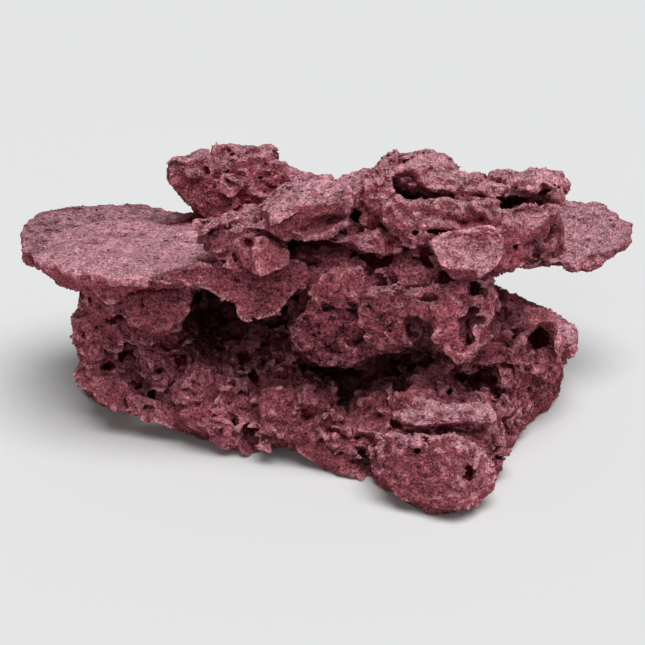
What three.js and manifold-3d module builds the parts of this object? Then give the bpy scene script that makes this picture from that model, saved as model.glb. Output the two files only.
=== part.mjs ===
// Reef rock for an aquarium: one porous stone with a broad foot, a narrow waist, and flat shelves above.
// Millimetres, +Z up. The stone stands on z = 0 and its bounding box is centred on x = 0, y = 0.

import * as THREE from "three";
import { ImprovedNoise } from "three/addons/math/ImprovedNoise.js";
import { mergeVertices } from "three/addons/utils/BufferGeometryUtils.js";
import Module from "manifold-3d";

const wasm = await Module();
wasm.setup();

// ---- Weathering ---------------------------------------------------------------------------------

const noise = new ImprovedNoise();
// Each octave: how far the surface wanders, and over what distance.
const WEATHER = [
  { reach: 9, span: 26 },
  { reach: 6, span: 11 },
];

// Moves each point of a geometry by smooth noise that depends only on where the point is, times rough.
function weather(geometry, rough) {
  const positions = geometry.getAttribute("position");
  for (let i = 0; i < positions.count; i++) {
    let [x, y, z] = new THREE.Vector3().fromBufferAttribute(positions, i).toArray();
    for (const { reach, span } of WEATHER) {
      const [a, b, c] = [x / span, y / span, z / span];
      x += rough * reach * noise.noise(a + 7.3, b, c);
      y += rough * reach * noise.noise(a, b + 19.1, c);
      z += rough * reach * noise.noise(a, b, c + 31.7);
    }
    positions.setXYZ(i, x, y, z);
  }
  return geometry;
}

// ---- Solids -------------------------------------------------------------------------------------

// A closed three.js geometry as a solid that can be joined and cut.
function solid(geometry) {
  geometry.deleteAttribute("normal");
  geometry.deleteAttribute("uv");
  const merged = mergeVertices(geometry, 1e-3);
  const faces = [];
  for (let i = 0; i < merged.index.count; i += 3) {
    const [a, b, c] = [0, 1, 2].map((k) => merged.index.getX(i + k));
    if (a !== b && b !== c && c !== a) faces.push(a, b, c);
  }
  return new wasm.Manifold(
    new wasm.Mesh({
      numProp: 3,
      vertProperties: merged.getAttribute("position").array,
      triVerts: new Uint32Array(faces),
    }),
  );
}

// The triangles of the largest connected surface, which leaves out any pocket closed off between lumps.
function outerSurface(triangles, vertexCount) {
  const parent = Uint32Array.from({ length: vertexCount }, (_, i) => i);
  const root = (i) => {
    while (parent[i] !== i) i = parent[i] = parent[parent[i]];
    return i;
  };
  for (let i = 0; i < triangles.length; i += 3) {
    parent[root(triangles[i + 1])] = root(triangles[i]);
    parent[root(triangles[i + 2])] = root(triangles[i]);
  }
  const sizes = new Map();
  for (const corner of triangles) sizes.set(root(corner), (sizes.get(root(corner)) ?? 0) + 1);
  const [largest] = [...sizes].reduce((best, entry) => (entry[1] > best[1] ? entry : best));
  return triangles.filter((corner) => root(corner) === largest);
}

// The size of stone that one step of a lump's facets stands for.
const FACET = 16;

// A lump of stone: a faceted ball squared off, stretched to its half-sizes, turned and weathered.
function lump(at, half, { turn = [0, 0, 0], square = 3, rough = 1 } = {}) {
  const facets = THREE.MathUtils.clamp(Math.round(Math.cbrt(half[0] * half[1] * half[2]) / FACET), 1, 3);
  const geometry = new THREE.IcosahedronGeometry(1, facets);
  const positions = geometry.getAttribute("position");
  const point = new THREE.Vector3();
  for (let i = 0; i < positions.count; i++) {
    point.fromBufferAttribute(positions, i);
    const reach = point.toArray().reduce((sum, v) => sum + Math.abs(v) ** square, 0) ** (-1 / square);
    positions.setXYZ(i, point.x * reach, point.y * reach, point.z * reach);
  }
  const [rx, ry, rz] = turn.map(THREE.MathUtils.degToRad);
  geometry.applyMatrix4(
    new THREE.Matrix4().compose(
      new THREE.Vector3(...at),
      new THREE.Quaternion().setFromEuler(new THREE.Euler(rx, ry, rz, "ZYX")),
      new THREE.Vector3(...half),
    ),
  );
  return solid(weather(geometry, rough));
}

// A body of stone lofted from bottom to top through its levels. Each level has a plan outline, anticlockwise
// from above and starting on the +X side, a share of the way out to it, and a height.
function loft(levels, { spokes, slope = [0, 0], rough = 1 }) {
  const rings = levels.map(({ outline, share, height }) => {
    const corners = outline.map(([x, y]) => new THREE.Vector3(x, y, 0));
    const centre = corners.reduce((sum, c) => sum.add(c), new THREE.Vector3()).divideScalar(corners.length);
    const rim = new THREE.CatmullRomCurve3(corners, true).getSpacedPoints(spokes);
    return rim.map((point) => {
      const { x, y } = point.sub(centre).multiplyScalar(share);
      return new THREE.Vector3(x, y, height + x * slope[0] + y * slope[1]).add(centre);
    });
  });
  const geometry = new THREE.LatheGeometry(levels.map(({ share }) => new THREE.Vector2(share, 0)), spokes);
  const positions = geometry.getAttribute("position");
  for (let i = 0; i < positions.count; i++) {
    const { x, y, z } = rings[i % levels.length][Math.floor(i / levels.length) % spokes];
    positions.setXYZ(i, x, y, z);
  }
  return solid(weather(geometry, rough));
}

// The section of a ledge from the middle of its underside to the middle of its top: each pair is how far
// out it is, as a share of the way to the rim, and how high, as a share of the thickness above the top face.
const LEDGE_SECTION = [
  [0, -1],
  [0.88, -0.85],
  [1, -0.4],
  [0.95, -0.02],
  [0.6, 0],
  [0, 0],
];

// A flat shelf of stone with the plan outline given. Slope is its rise per mm along x and y.
function ledge({ outline, top, thick, slope, spokes = 20, rough = 0.5 }) {
  const levels = LEDGE_SECTION.map(([share, up]) => ({ outline, share, height: top + up * thick }));
  return loft(levels, { spokes, slope, rough });
}

// ---- The stone ----------------------------------------------------------------------------------

const FOOT_PLAN = [
  [162, 42], [162, 72], [142, 100], [100, 110], [50, 114], [0, 110], [-50, 108], [-100, 102], [-142, 88],
  [-164, 66], [-164, 38], [-140, 20], [-106, 4], [-82, -20], [-58, -46], [-28, -58], [0, -62], [22, -70],
  [34, -88], [46, -106], [68, -117], [82, -117], [92, -104], [102, -76], [110, -52], [124, -20], [146, 6],
];
const SHOULDER_PLAN = [
  [154, 40], [152, 70], [128, 98], [60, 106], [0, 104], [-70, 100], [-130, 88], [-150, 66], [-150, 36],
  [-128, 8], [-96, 0], [-70, -14], [-40, -14], [0, -26], [40, -30], [80, -30], [112, -16], [140, 6],
];
const WAIST_PLAN = [
  [108, 30], [110, 64], [80, 90], [20, 96], [-50, 90], [-104, 76], [-136, 52], [-144, 22], [-124, -10],
  [-92, -8], [-64, 26], [-30, 30], [10, 6], [50, -14], [88, -20],
];
const HEAD_PLAN = [
  [140, 14], [124, 52], [92, 84], [40, 92], [-14, 82], [-44, 62], [-56, 30], [-52, -4], [-36, -30], [-6, -42],
  [40, -40], [84, -44], [122, -26],
];
const ROOF_PLAN = [
  [138, 0], [126, 14], [96, 18], [60, 16], [30, 22], [4, 8],
  [0, -16], [28, -28], [60, -24], [96, -26], [126, -20],
];

const body = loft(
  [
    { outline: FOOT_PLAN, share: 0, height: -20 },
    { outline: FOOT_PLAN, share: 0.86, height: -14 },
    { outline: FOOT_PLAN, share: 0.99, height: 8 },
    { outline: FOOT_PLAN, share: 0.97, height: 24 },
    { outline: SHOULDER_PLAN, share: 1, height: 42 },
    { outline: SHOULDER_PLAN, share: 0.94, height: 56 },
    { outline: WAIST_PLAN, share: 1.04, height: 68 },
    { outline: WAIST_PLAN, share: 0.96, height: 84 },
    { outline: WAIST_PLAN, share: 0.98, height: 103 },
    { outline: HEAD_PLAN, share: 0.92, height: 116 },
    { outline: HEAD_PLAN, share: 1, height: 127 },
    { outline: HEAD_PLAN, share: 0.9, height: 139 },
    { outline: ROOF_PLAN, share: 0.98, height: 150 },
    { outline: ROOF_PLAN, share: 0.9, height: 159 },
    { outline: ROOF_PLAN, share: 0, height: 163 },
  ],
  { spokes: 40 },
);

const FOOT = [
  lump([-118, 32, 42], [34, 38, 28]), // left block
  lump([-132, 18, 64], [24, 22, 11]), // its top lobe
  lump([-66, -12, 27], [24, 27, 23]), // front left crag
  lump([4, -32, 30], [40, 24, 17]),
  lump([60, -46, 42], [28, 24, 15]),
  lump([78, -58, 30], [30, 28, 16], { square: 3.5 }),
  lump([70, -88, 17], [24, 24, 21], { square: 4, turn: [0, 0, 8] }), // front toe
  lump([90, -66, 14], [12, 16, 14]),
  lump([124, 24, 43], [32, 36, 20]), // right shoulder
  lump([148, 24, 48], [15, 15, 12]),
  lump([-70, 80, 52], [40, 28, 22]), // back of the base
  lump([40, 88, 40], [44, 26, 24]),
];

const WAIST = [
  lump([-126, 12, 92], [20, 24, 20]), // neck under the left shelf
  lump([-96, -14, 90], [22, 27, 17]),
  lump([-120, -16, 102], [18, 20, 11]),
  lump([86, -28, 92], [15, 22, 28]), // pitted column
  lump([79, -46, 82], [15, 15, 18]), // hanging drop
];

const APRON = [
  ledge({
    outline: [
      [0, 4], [-40, 14], [-84, 4], [-74, -20], [-60, -38],
      [-47, -60], [-38, -66], [-24, -60], [-14, -46], [-2, -24],
    ],
    top: 112, thick: 10, slope: [0, 0.24], spokes: 18,
  }),
  lump([-44, -34, 144], [27, 22, 13]), // wedge
  lump([-38, -44, 132], [15, 16, 13], { turn: [0, 45, 0] }),
  lump([-9, -40, 157], [26, 26, 13], { turn: [14, 0, 0], square: 3.4 }), // knob
  lump([-18, -8, 134], [42, 30, 22]),
  lump([4, -42, 113], [22, 18, 13]),
  lump([44, -26, 112], [34, 26, 24]),
  ledge({
    // lower lip
    outline: [[66, -30], [40, -10], [-20, -20], [-18, -50], [0, -64], [20, -66], [42, -62], [60, -56]],
    top: 88, thick: 12, slope: [0.05, 0.25], spokes: 16,
  }),
];

const SHELVES = [
  ledge({
    // left shelf, lower sheet
    outline: [
      [-36, 20], [-36, 66], [-66, 82], [-98, 86], [-118, 93], [-140, 95], [-163, 92], [-188, 82], [-195, 56],
      [-190, 26], [-180, 6], [-150, -16], [-120, -20], [-70, -10],
    ],
    top: 114, thick: 12, slope: [0, 0.03],
  }),
  ledge({
    // left shelf, upper sheet
    outline: [
      [-30, 0], [-46, 50], [-80, 64], [-103, 60], [-123, 68], [-137, 66], [-153, 50], [-170, 38], [-176, 10],
      [-168, -14], [-154, -31], [-139, -42], [-115, -47], [-93, -46], [-74, -40], [-50, -34],
    ],
    top: 117, thick: 11,
  }),
  ledge({
    // right shelf
    outline: [
      [182, 48], [196, 62], [208, 80], [204, 94], [190, 104], [174, 112], [156, 116], [120, 106], [90, 80],
      [100, 42], [124, 44], [150, 46], [168, 40],
    ],
    top: 107, thick: 11, slope: [0, 0.3],
  }),
  ledge({
    // rear shelf
    outline: [[118, 60], [112, 92], [78, 108], [36, 108], [0, 92], [-20, 60], [0, 40], [60, 40]],
    top: 128, thick: 11, slope: [0, -0.1], spokes: 18,
  }),
  lump([-55, 78, 132], [37, 18, 22], { turn: [0, 16, 0] }), // back fin
  lump([-82, 80, 144], [17, 14, 11]),
  lump([-65, 80, 153], [12, 9, 9]),
  lump([-40, 80, 151], [12, 9, 8]),
  lump([-16, 58, 122], [34, 28, 20]),
  lump([26, 30, 140], [34, 24, 13]),
  lump([31, -20, 154], [12, 14, 20]), // post
  lump([56, -6, 163], [28, 22, 9], { square: 4 }), // roof
  lump([62, -6, 170], [11, 9, 6]),
  lump([115, -6, 158], [31, 19, 7], { square: 4 }), // roof, right
  lump([84, -34, 138], [32, 22, 24]),
  lump([122, -8, 134], [21, 20, 20]),
];

const HOLLOWS = [
  lump([-52, -10, 74], [38, 46, 26]), // the cave
  lump([36, -46, 62], [44, 32, 11]), // gap over the foot
  lump([24, -48, 50], [14, 20, 13]), // its deep end
  lump([8, -48, 137], [32, 22, 7]), // under the knob
  lump([-12, -44, 105], [9, 22, 9]), // window
  lump([57, -26, 157], [19, 16, 4.5]), // slots under the roof
  lump([113, -20, 149], [12, 20, 4.5]),
  lump([68, -52, 134], [7, 10, 5]),
  lump([132, -6, 50], [10, 14, 9]),
  lump([82, -62, 86], [6, 10, 9]),
  lump([90, -54, 58], [20, 18, 9]),
];

// Where pits are weathered into the stone, and how wide each one is.
const PITS = [
  [-128, -4, 50, 13], [-60, -42, 36, 9], [160, 44, 24, 12], [-156, 60, 36, 13],
  [104, 114, 58, 13], [10, 114, 62, 14], [-82, 108, 50, 14], [26, 102, 98, 13], [76, 98, 130, 12],
];
const pits = PITS.map(([x, y, z, width]) => lump([x, y, z], [width, width, width * 0.8]));

// What lies under the flat patch that the stone stands on.
const FLOOR = { side: 600, depth: 100 };
const floor = new THREE.BoxGeometry(FLOOR.side, FLOOR.side, FLOOR.depth).translate(0, 0, -FLOOR.depth / 2);

const grown = [...FOOT, ...WAIST, ...APRON, ...SHELVES].reduce((whole, piece) => whole.add(piece), body);
const stone = [...HOLLOWS, ...pits, solid(floor)].reduce((whole, hollow) => whole.subtract(hollow), grown);

const { vertProperties, triVerts } = stone.getMesh();
const geometry = new THREE.BufferGeometry();
geometry.setAttribute("position", new THREE.BufferAttribute(vertProperties, 3));
geometry.setIndex(new THREE.BufferAttribute(outerSurface(triVerts, vertProperties.length / 3), 1));
geometry.computeBoundingBox();
const middle = geometry.boundingBox.getCenter(new THREE.Vector3());
geometry.translate(-middle.x, -middle.y, 0);

const rock = new THREE.Mesh(
  geometry,
  new THREE.MeshStandardMaterial({ color: 0x8a4a58, roughness: 0.95, metalness: 0 }), // dusty mauve red
);
rock.name = "reef_rock";

const group = new THREE.Group();
group.add(rock);
export default group;
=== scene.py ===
"""Aquarium reef rock: the looks of one porous stone, worked out of its solid model.

The solid is held as a block of distances to its surface. Hollows, lobes with thin lips, weathered ridges
and pits are worked into that block, which then becomes one closed mesh. Lengths in the block are in
millimetres, and the mesh is in metres.
"""

import math
from typing import NamedTuple

import bpy
import numpy as np
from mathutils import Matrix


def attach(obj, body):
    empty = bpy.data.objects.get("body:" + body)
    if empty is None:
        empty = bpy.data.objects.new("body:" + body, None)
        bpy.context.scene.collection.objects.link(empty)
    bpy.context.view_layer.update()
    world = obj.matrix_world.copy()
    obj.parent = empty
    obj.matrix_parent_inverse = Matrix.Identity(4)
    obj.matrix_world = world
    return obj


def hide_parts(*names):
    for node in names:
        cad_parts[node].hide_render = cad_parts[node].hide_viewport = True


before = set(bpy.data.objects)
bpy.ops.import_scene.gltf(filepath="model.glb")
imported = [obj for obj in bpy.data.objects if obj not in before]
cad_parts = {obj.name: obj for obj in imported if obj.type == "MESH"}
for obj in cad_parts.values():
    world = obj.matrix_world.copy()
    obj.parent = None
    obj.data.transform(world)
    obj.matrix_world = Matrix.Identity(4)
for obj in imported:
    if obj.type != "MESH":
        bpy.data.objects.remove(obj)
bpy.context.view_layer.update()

import openvdb
from bpy.props import FloatProperty, FloatVectorProperty, IntProperty, PointerProperty
from mathutils import Vector

bl_info = {
    "name": "Aquarium Reef Rock",
    "version": (1, 0, 0),
    "blender": (4, 5, 0),
    "location": "View3D > Sidebar > Reef Rock",
    "description": "Builds a weathered, porous reef rock with shelves and a cave, and a plain studio for it",
    "category": "Add Mesh",
}

NODE = "reef_rock"
BODY = "root"
PIECE = "reef_stone"
MM = 1000.0
PIECE_LIMIT = 200000

# The numbers that every vertex of the stone carries for its material: how far it lies in a small pocket
# and in a broad recess, which paint highlights on lips and shade in hollows, the tone of its lobe, which is
# partly painted light and shade, and how open it is to the sky, which keeps dust and painted top light
# off stone under an overhang.
FIELDS = ("pocket", "recess", "tone", "sky")


# ---- Kinds of form and of weathering ------------------------------------------------------------


class Lobe(NamedTuple):
    """A lobe of stone with a thin lip, drawn in outline on a board that leans back and turns about Z.

    Its face is at front, and falls back by dome towards its lip, which is as thick as rim. Lines are growth
    lines near the lip, wear is how much it weathers, gap is the depth of the shadow gap cut behind its lip,
    and tone makes its colour darker or lighter: partly its own colour, and partly painted light on lobes
    that lie in light and painted shade on lobes that lie in shade.
    """

    outline: list
    front: float
    lean: float = 22
    turn: float = 0
    dome: float = 4
    rim: float = 3
    lines: float = 0
    wear: float = 0.6
    gap: float = 7
    tone: float = 0


class Hollow(NamedTuple):
    """A hollow with its mouth drawn on such a board, cut back as far as its floor, which bowl rounds off."""

    outline: list
    floor: float
    lean: float = 22
    turn: float = 0
    bowl: float = 4


class Calm(NamedTuple):
    """An egg-shaped region where only some of the weathering is left, such as a dusty shelf top."""

    centre: tuple
    half: tuple
    left: float = 0.25


class Layer(NamedTuple):
    """A layer of smooth noise: how far it reaches, the spans it changes over, and its random seed."""

    reach: float
    spans: tuple
    seed: int


def round_outline(centre, half, corners):
    """An upright ellipse as an outline, clockwise, with its corners at whole millimetres."""
    outline = []
    for turn in (2 * math.pi * n / corners for n in range(corners)):
        across = centre[0] + half[0] * math.cos(turn)
        outline.append((round(across), round(centre[1] - half[1] * math.sin(turn))))
    return outline


# ---- Forms worked into the stone ----------------------------------------------------------------

# Hollows are cut first, then lobes are added, and pits are cut last.

HOLLOWS = [
    # behind the wedge
    Hollow(
        [(-88, 135), (-76, 133), (-64, 134), (-54, 137), (-46, 137), (-41, 141), (-36, 146), (-30, 150),
         (-22, 155), (-18, 161), (-32, 169), (-49, 174), (-67, 171), (-91, 159)],
        floor=-17, lean=14, bowl=8,
    ),
    # left shelf: far, lower sheet
    Hollow(
        [(-193, 1), (-201, 56), (-192, 91), (-170, 98), (-123, 105), (-89, 74), (-93, 61), (-103, 52),
         (-118, 61), (-138, 67), (-158, 56), (-172, 38), (-179, 14), (-178, -14)],
        floor=113, lean=90, bowl=0.5,
    ),
    # cave
    Hollow(
        [(-90, 91), (-80, 94), (-70, 88), (-59, 78), (-52, 72), (-43, 75), (-32, 77), (-26, 72),
         (-24, 64), (-29, 57), (-40, 58), (-51, 55), (-57, 48), (-68, 44), (-78, 46), (-86, 54),
         (-92, 66)],
        floor=-58, lean=10, bowl=8,
    ),
    # under the wedge
    Hollow([(-66, 125), (-60, 122), (-51, 117), (-49, 112), (-57, 114), (-65, 120)], floor=46, lean=5),
    # under the knob
    Hollow(
        [(-27, 137), (-19, 138), (-5, 135), (6, 141), (10, 136), (2, 129), (-12, 130), (-23, 131)],
        floor=19, lean=0, bowl=5,
    ),
    # under the ledge
    Hollow(
        [(10, 127), (19, 126), (26, 123), (33, 122), (30, 118), (18, 119), (12, 122)],
        floor=41, lean=5,
    ),
    # under the lip edges
    Hollow(
        [(22, 103), (35, 102), (49, 101), (57, 99), (56, 88), (52, 83), (47, 88), (40, 95), (29, 98),
         (20, 96)],
        floor=47, lean=5, bowl=5,
    ),
    # under the step
    Hollow(
        [(31, 31), (39, 34), (55, 33), (69, 35), (83, 36), (95, 34), (91, 28), (78, 29), (61, 27),
         (44, 28), (34, 25)],
        floor=65, lean=5,
    ),
    # undercut left
    Hollow(
        [(-62, 31), (-49, 36), (-42, 28), (-29, 36), (-20, 32), (-7, 19), (-20, 12), (-50, 16)],
        floor=17, lean=-20, bowl=3,
    ),
    # undercut right
    Hollow([(4, 42), (13, 47), (27, 30), (19, 23), (10, 30)], floor=47, lean=-20, bowl=3),
]

PITS = [
    # shelf lens 1
    Hollow([(-151, 4), (-148, 10), (-143, 8), (-142, 2), (-147, 0)], floor=119, lean=90, bowl=0.5),
    # shelf lens 2
    Hollow([(-139, 22), (-134, 30), (-126, 28), (-127, 20), (-133, 16)], floor=119.5, lean=90, bowl=0.5),
    # shelf lens 3
    Hollow(
        [(-121, -24), (-108, -18), (-93, -22), (-95, -32), (-108, -34)],
        floor=119.7, lean=90, bowl=0.5,
    ),
    # shelf lens 4
    Hollow([(-162, -15), (-155, -11), (-149, -16), (-154, -22)], floor=119.5, lean=90, bowl=0.5),
    # long gap
    Hollow(
        [(-27, 42), (-18, 41), (-5, 37), (11, 38), (29, 41), (42, 47), (53, 52), (61, 51), (71, 40),
         (66, 35), (56, 34), (49, 30), (40, 27), (30, 27), (25, 20), (16, 16), (13, 10), (8, 8), (2, 13),
         (4, 22), (0, 26), (-9, 30), (-21, 32)],
        floor=-30, lean=24, turn=-2, bowl=6,
    ),
    # gap, right pocket
    Hollow([(34, 29), (43, 31), (50, 26), (48, 21), (40, 20)], floor=24, lean=25, turn=-3),
    # window
    Hollow(
        [(-22, 86), (-18, 85), (-15, 77), (-18, 71), (-25, 69), (-32, 71), (-28, 79)],
        floor=28, lean=21, turn=1, bowl=3,
    ),
    # wedge side
    Hollow(
        [(-80, 117), (-77, 115), (-75, 110), (-78, 109), (-80, 112)],
        floor=78, lean=19, turn=5, bowl=3,
    ),
    # wedge pock
    Hollow(
        [(-54, 118), (-50, 119), (-48, 117), (-49, 114), (-53, 114)],
        floor=88, lean=19, turn=3, bowl=3,
    ),
    # wedge pock 2
    Hollow([(-47, 123), (-43, 125), (-41, 122), (-45, 120)], floor=89, lean=18, turn=3, bowl=3),
    # wedge notch
    Hollow(
        [(-72, 112), (-67, 110), (-63, 105), (-66, 104), (-71, 107)],
        floor=82, lean=19, turn=4, bowl=3,
    ),
    # wedge notch 2
    Hollow(
        [(-63, 115), (-59, 111), (-57, 104), (-60, 103), (-62, 109)],
        floor=85, lean=19, turn=4, bowl=3,
    ),
    # ring, middle
    Hollow(
        [(-65, 156), (-61, 157), (-57, 155), (-58, 150), (-61, 149), (-65, 151)],
        floor=-14, lean=16, turn=4,
    ),
    # knob band
    Hollow(
        [(-18, 124), (-12, 128), (-4, 131), (3, 132), (6, 129), (0, 123), (-9, 121), (-17, 120)],
        floor=99, lean=18,
    ),
    # left of post
    Hollow([(12, 137), (16, 138), (20, 135), (17, 130), (13, 129)], floor=33, lean=17, turn=-2),
    # roof slot, left
    Hollow(
        [(33, 147), (37, 150), (42, 143), (50, 141), (61, 140), (70, 139), (70, 134), (55, 134),
         (40, 133), (34, 140)],
        floor=42, bowl=3,
    ),
    # roof slot, middle
    Hollow(
        [(94, 139), (99, 140), (107, 139), (115, 139), (116, 137), (107, 131), (96, 129)],
        floor=44, bowl=3,
    ),
    # roof slot, right
    Hollow([(119, 142), (124, 143), (129, 143), (128, 139), (120, 138)], floor=68, bowl=3),
    # eye over the dish
    Hollow(
        [(55, 126), (60, 127), (67, 126), (66, 123), (59, 122), (56, 123)],
        floor=67, lean=18, turn=-5,
    ),
    # eye left
    Hollow([(46, 125), (50, 126), (52, 124), (48, 121)], floor=72, lean=18, turn=-4, bowl=10),
    # left of the dish
    Hollow(
        [(52, 111), (57, 112), (62, 105), (65, 100), (58, 100), (53, 104)],
        floor=68, lean=19, turn=-5, bowl=10,
    ),
    # right of mid lobe
    Hollow([(20, 99), (27, 97), (35, 93), (28, 91), (21, 90)], floor=74, lean=20, turn=-2, bowl=10),
    # flap pit 1
    Hollow(
        [(43, 68), (50, 71), (57, 68), (61, 62), (59, 54), (52, 51), (47, 56), (44, 62)],
        floor=81, turn=-4, bowl=3,
    ),
    # flap pit 2
    Hollow([(47, 82), (52, 83), (55, 81), (51, 78)], floor=85, lean=21, turn=-4, bowl=3),
    # column hole, top
    Hollow([(83, 92), (87, 94), (90, 92), (89, 86), (85, 85)], floor=55, lean=21, turn=-7, bowl=2),
    # column hole, low
    Hollow(
        [(78, 70), (82, 73), (86, 71), (84, 64), (87, 57), (83, 55), (79, 59), (80, 65)],
        floor=54, turn=-6, bowl=2,
    ),
    # right of the drop
    Hollow(
        [(71, 39), (81, 38), (90, 43), (102, 40), (109, 31), (104, 21), (95, 24), (86, 21), (75, 25)],
        floor=-6, lean=25, turn=-7, bowl=10,
    ),
    # dark hole
    Hollow([(67, 25), (72, 27), (75, 24), (73, 19), (68, 20)], floor=21, lean=25, turn=-5, bowl=10),
    # left block pit 1
    Hollow(
        [(-129, 52), (-123, 54), (-119, 50), (-121, 45), (-127, 44), (-131, 48)],
        floor=-6, lean=24, turn=8, bowl=10,
    ),
    # left block pit 2
    Hollow(
        [(-147, 46), (-141, 49), (-135, 47), (-138, 43), (-145, 43)],
        floor=-21, lean=24, turn=9, bowl=10,
    ),
    # left block pit 3
    Hollow(
        [(-114, 41), (-107, 43), (-101, 38), (-104, 33), (-111, 35)],
        floor=-11, lean=24, turn=7, bowl=10,
    ),
    # left block crack
    Hollow([(-144, 86), (-140, 85), (-141, 82), (-145, 83)], floor=12, lean=21, turn=9, bowl=10),
    # left block crack 2
    Hollow([(-132, 80), (-127, 82), (-123, 78), (-129, 76)], floor=28, lean=21, turn=8, bowl=10),
    # shoulder pit
    Hollow(
        [(118, 67), (124, 70), (131, 69), (133, 60), (128, 55), (121, 57)],
        floor=-40, lean=23, turn=-9, bowl=10,
    ),
    # shoulder crack
    Hollow([(102, 73), (107, 76), (114, 74), (112, 69), (105, 68)], floor=-14, turn=-8, bowl=10),
    # foot pit 1
    Hollow([(-87, 19), (-84, 20), (-81, 17), (-85, 14)], floor=24, lean=25, turn=5, bowl=10),
    # foot pit 2
    Hollow([(-67, 30), (-61, 31), (-55, 24), (-57, 18), (-63, 20)], floor=20, lean=25, turn=4, bowl=10),
    # foot pit 3
    Hollow([(-53, 37), (-48, 39), (-44, 33), (-47, 26), (-52, 28)], floor=13, lean=24, turn=3, bowl=10),
    # foot pit 4
    Hollow([(-65, 5), (-60, 6), (-58, 1), (-63, -1)], floor=34, lean=26, turn=4, bowl=8),
    # foot hole at the floor
    Hollow([(13, -16), (19, -15), (24, -19), (23, -24), (16, -23)], floor=38, lean=28, turn=-2, bowl=10),
    # right shelf corner
    Hollow(
        [(147, 157), (179, 162), (186, 140), (178, 138), (170, 142), (158, 148)],
        floor=-177, lean=17, turn=-13, bowl=0,
    ),
    # right shelf, under
    Hollow(
        [(133, 105), (145, 107), (154, 106), (162, 113), (169, 114), (168, 100), (136, 96)],
        floor=-91, lean=20, turn=-11, bowl=0,
    ),
    # toe pit
    Hollow(
        [(83, -23), (86, -21), (90, -24), (89, -30), (85, -31), (82, -28)],
        floor=96, lean=28, turn=-6, bowl=5,
    ),
    # toe nick
    Hollow([(51, -14), (55, -12), (56, -16), (52, -17)], floor=92, lean=27, turn=-4, bowl=10),
    # toe nick 2
    Hollow([(55, -7), (59, -5), (61, -9), (57, -11)], floor=84, lean=27, turn=-4, bowl=10),
]

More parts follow.
